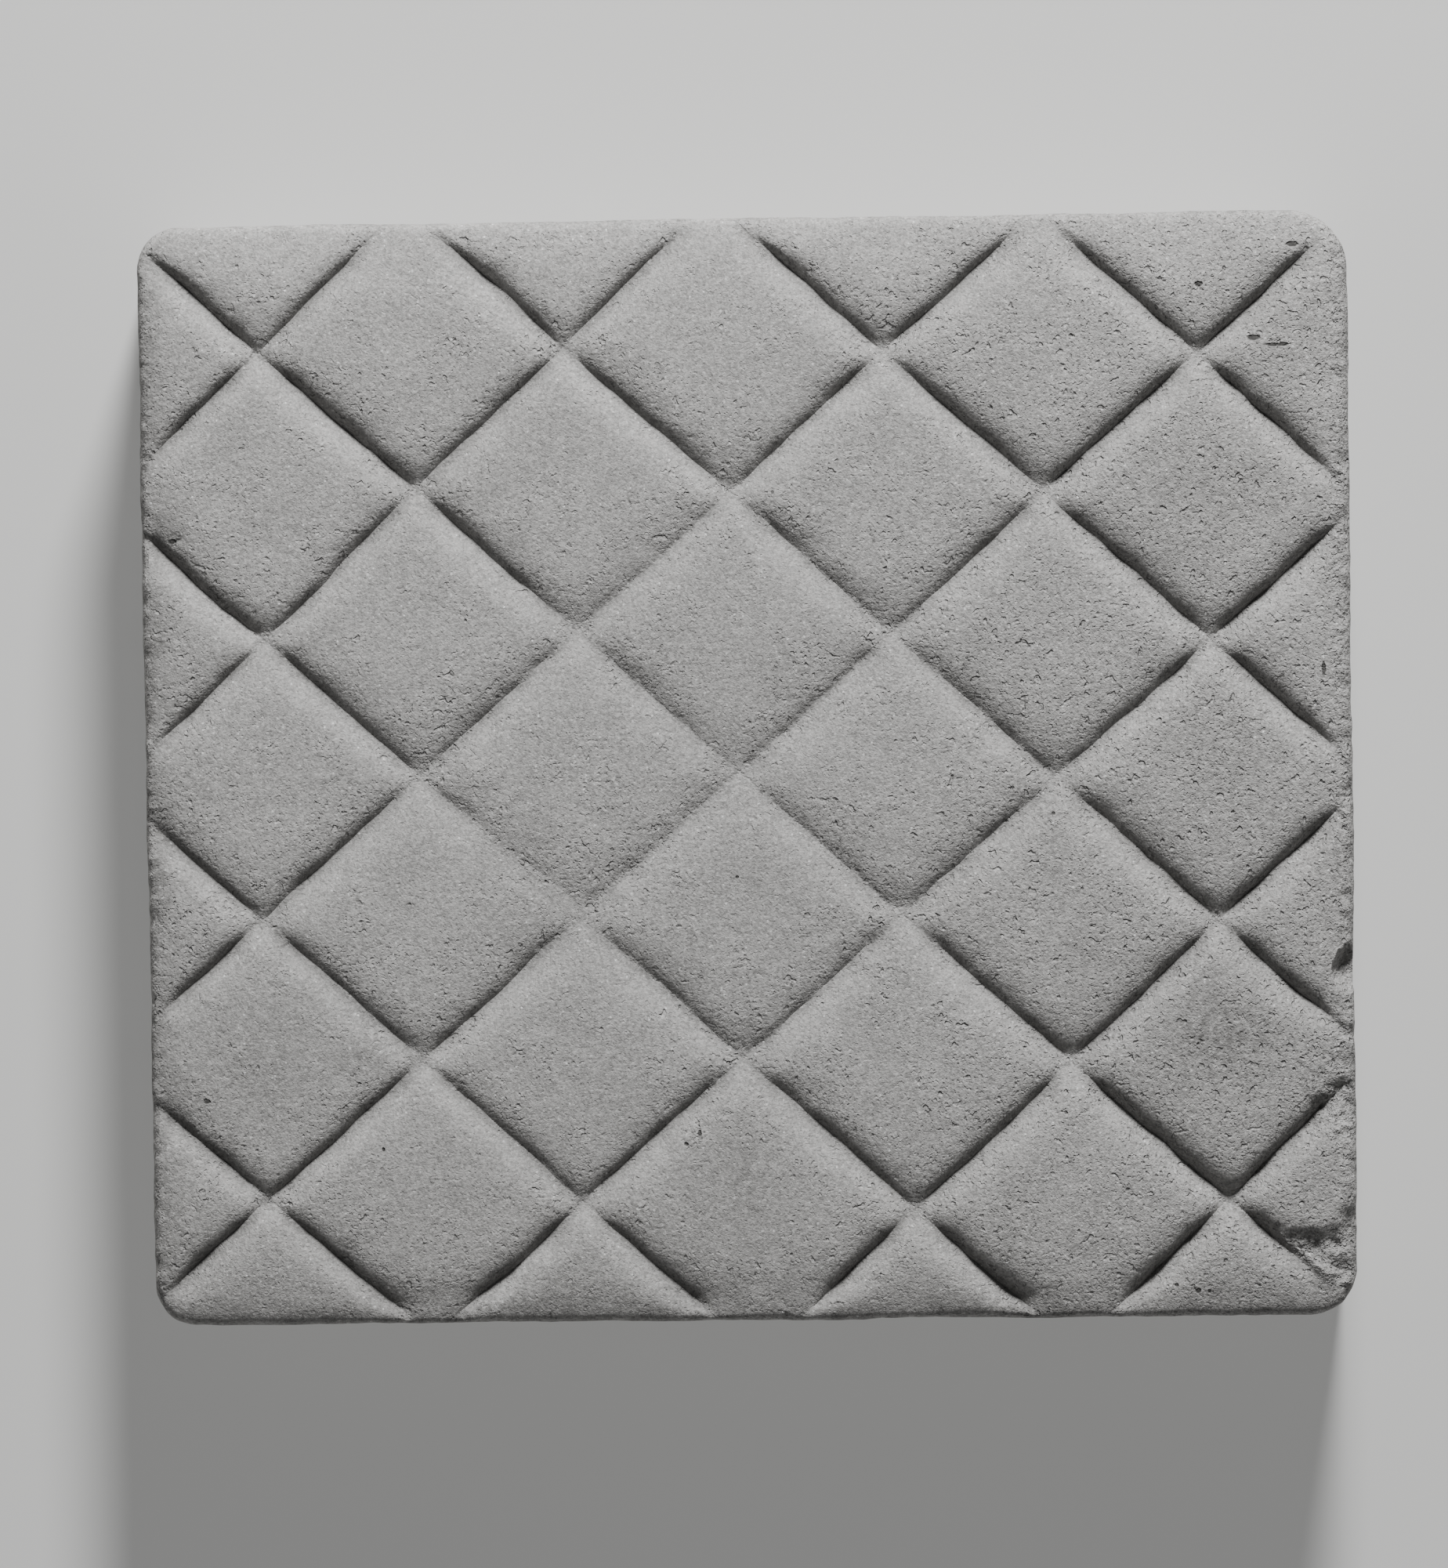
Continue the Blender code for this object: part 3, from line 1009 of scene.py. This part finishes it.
pit_patches = stone.step(stone.lumps(place, 5.0, 2.0) + pitted * 0.24 + right * 0.24, 0.50, 0.80)
small_pits = stone.step(stone.lumps(place, 0.62, 1.0, 0.5), 0.42, 0.28)
large_pits = stone.step(stone.lumps(place, 1.5, 1.0, 0.6), 0.37, 0.27)
coarse = stone.lumps(place, 1.2, 3.0, 0.6)
height = grain * (FINE + right * FINE_TO_RIGHT)
height = height + coarse * (LUMPS + pit_patches * LUMPS_PITTED + rough * LUMPS_BROKEN)
height = height - specks * SPECK_DEPTH
height = height - small_pits * (SMALL_PIT + pit_patches * SMALL_PIT_PITTED + rough * SMALL_PIT_BROKEN)
height = height - large_pits * pit_patches * LARGE_PIT
normal = stone.add("ShaderNodeBump", None, {"Strength": 1.0, "Distance": MM, "Height": height})
stone.fill(stone.shader, {"Base Color": colour, "Normal": normal, "Roughness": 0.85 - glinting_crystals * 0.45})
stone.shader.inputs["Specular IOR Level"].default_value = 0.3
mesh.materials.append(stone.owner)
print(f"stone: {len(stone.tree.nodes)} nodes")

# %% [markdown]
# ## The floor
#
# The tile lies on a plain pale table. The table gives a little light of its own, as a photographer's
# light table does, so the low key light leaves no black shadow beside the tile, and the sides of the
# tile are lit from below. It gives the face nothing, because the face looks up. The sky is a dim even
# grey, which lights the grooves a little, and where the camera sees past the table it is paler.

# %% Floor and surroundings
FLOOR_REACH = 3.0
FLOOR_COLOUR = (0.62, 0.62, 0.61, 1.0)
FLOOR_GLOW = 0.30
SKY_SEEN = (0.62, 0.62, 0.62, 1.0)
SKY_LIGHT = (0.070, 0.070, 0.070, 1.0)

table = Nodes(bpy.data.materials.new("pale_table"), "Principled BSDF")
table.fill(table.shader, {"Base Color": FLOOR_COLOUR, "Roughness": 0.9})
table.fill(table.shader, {"Emission Color": FLOOR_COLOUR, "Emission Strength": FLOOR_GLOW})

sheet = bmesh.new()
bmesh.ops.create_circle(sheet, cap_ends=True, segments=96, radius=FLOOR_REACH)
floor_mesh = bpy.data.meshes.new("table_top")
sheet.to_mesh(floor_mesh)
sheet.free()
floor_mesh.materials.append(table.owner)
floor = bpy.data.objects.new("table_top", floor_mesh)
bpy.context.scene.collection.objects.link(floor)

sky = Nodes(bpy.data.worlds.new("studio"), "Background")
seen = sky.add("ShaderNodeLightPath", output="Is Camera Ray")
sky.fill(sky.shader, {"Color": sky.mix(seen, SKY_LIGHT, SKY_SEEN)})
bpy.context.scene.world = sky.owner
print(f"table: radius {FLOOR_REACH} m, glow {FLOOR_GLOW}")

# %% [markdown]
# ## The lights
#
# Relief shows best under one low light. A round softbox stands beyond the head of the tile, at an
# angle of about thirty degrees over the face, so the walls of the grooves that look towards the foot
# stay dark. A weak light near the table, beyond the foot, keeps the foot's arris from going black. It is
# too low to reach far into the grooves.

# %% Key and fill
def soft_light(name, azimuth, elevation, distance, size, power):
    """A round lamp that looks at the middle of the face. Azimuth 0 is beyond the head."""
    data = bpy.data.lights.new(name, "AREA")
    data.shape = "DISK"
    data.size = size
    data.energy = power
    lamp = bpy.data.objects.new(name, data)
    lamp.visible_camera = False
    turn, lift = math.radians(azimuth), math.radians(elevation)
    target = Vector((0.0, 0.0, FACE * MM))
    away = Vector((math.sin(turn) * math.cos(lift), math.cos(turn) * math.cos(lift), math.sin(lift)))
    lamp.location = target + away * distance
    lamp.rotation_euler = away.to_track_quat("Z", "Y").to_euler()
    bpy.context.scene.collection.objects.link(lamp)


soft_light("key", azimuth=8.0, elevation=30.0, distance=1.3, size=0.28, power=30.0)
soft_light("low_fill", azimuth=180.0, elevation=4.0, distance=1.6, size=0.30, power=2.3)

# %% [markdown]
# ## The camera
#
# The camera looks straight down through a long lens, so the sides don't show. The tile is turned half a
# degree in the picture. The scale of the picture comes from the length of the foot edge in it.

# %% Camera
PICTURE_WIDTH = 1848
PICTURE_HEIGHT = 2001
MM_PER_PIXEL = 0.1298
PICTURE_TURN = 0.54
PICTURE_MIDDLE = Vector((-3.86, -2.74))
CAMERA_DISTANCE = 1600.0
SENSOR = 36.0

camera_data = bpy.data.cameras.new("camera")
camera_data.sensor_fit = "VERTICAL"
camera_data.sensor_height = SENSOR
camera_data.lens = SENSOR * CAMERA_DISTANCE / (PICTURE_HEIGHT * MM_PER_PIXEL)
camera = bpy.data.objects.new("camera", camera_data)
camera.location = Vector((PICTURE_MIDDLE.x, PICTURE_MIDDLE.y, FACE + CAMERA_DISTANCE)) * MM
camera.rotation_euler = (0.0, 0.0, math.radians(-PICTURE_TURN))
bpy.context.scene.collection.objects.link(camera)
bpy.context.scene.camera = camera
print(f"lens {camera_data.lens:.0f} mm, {PICTURE_WIDTH * MM_PER_PIXEL:.0f} mm across the picture")
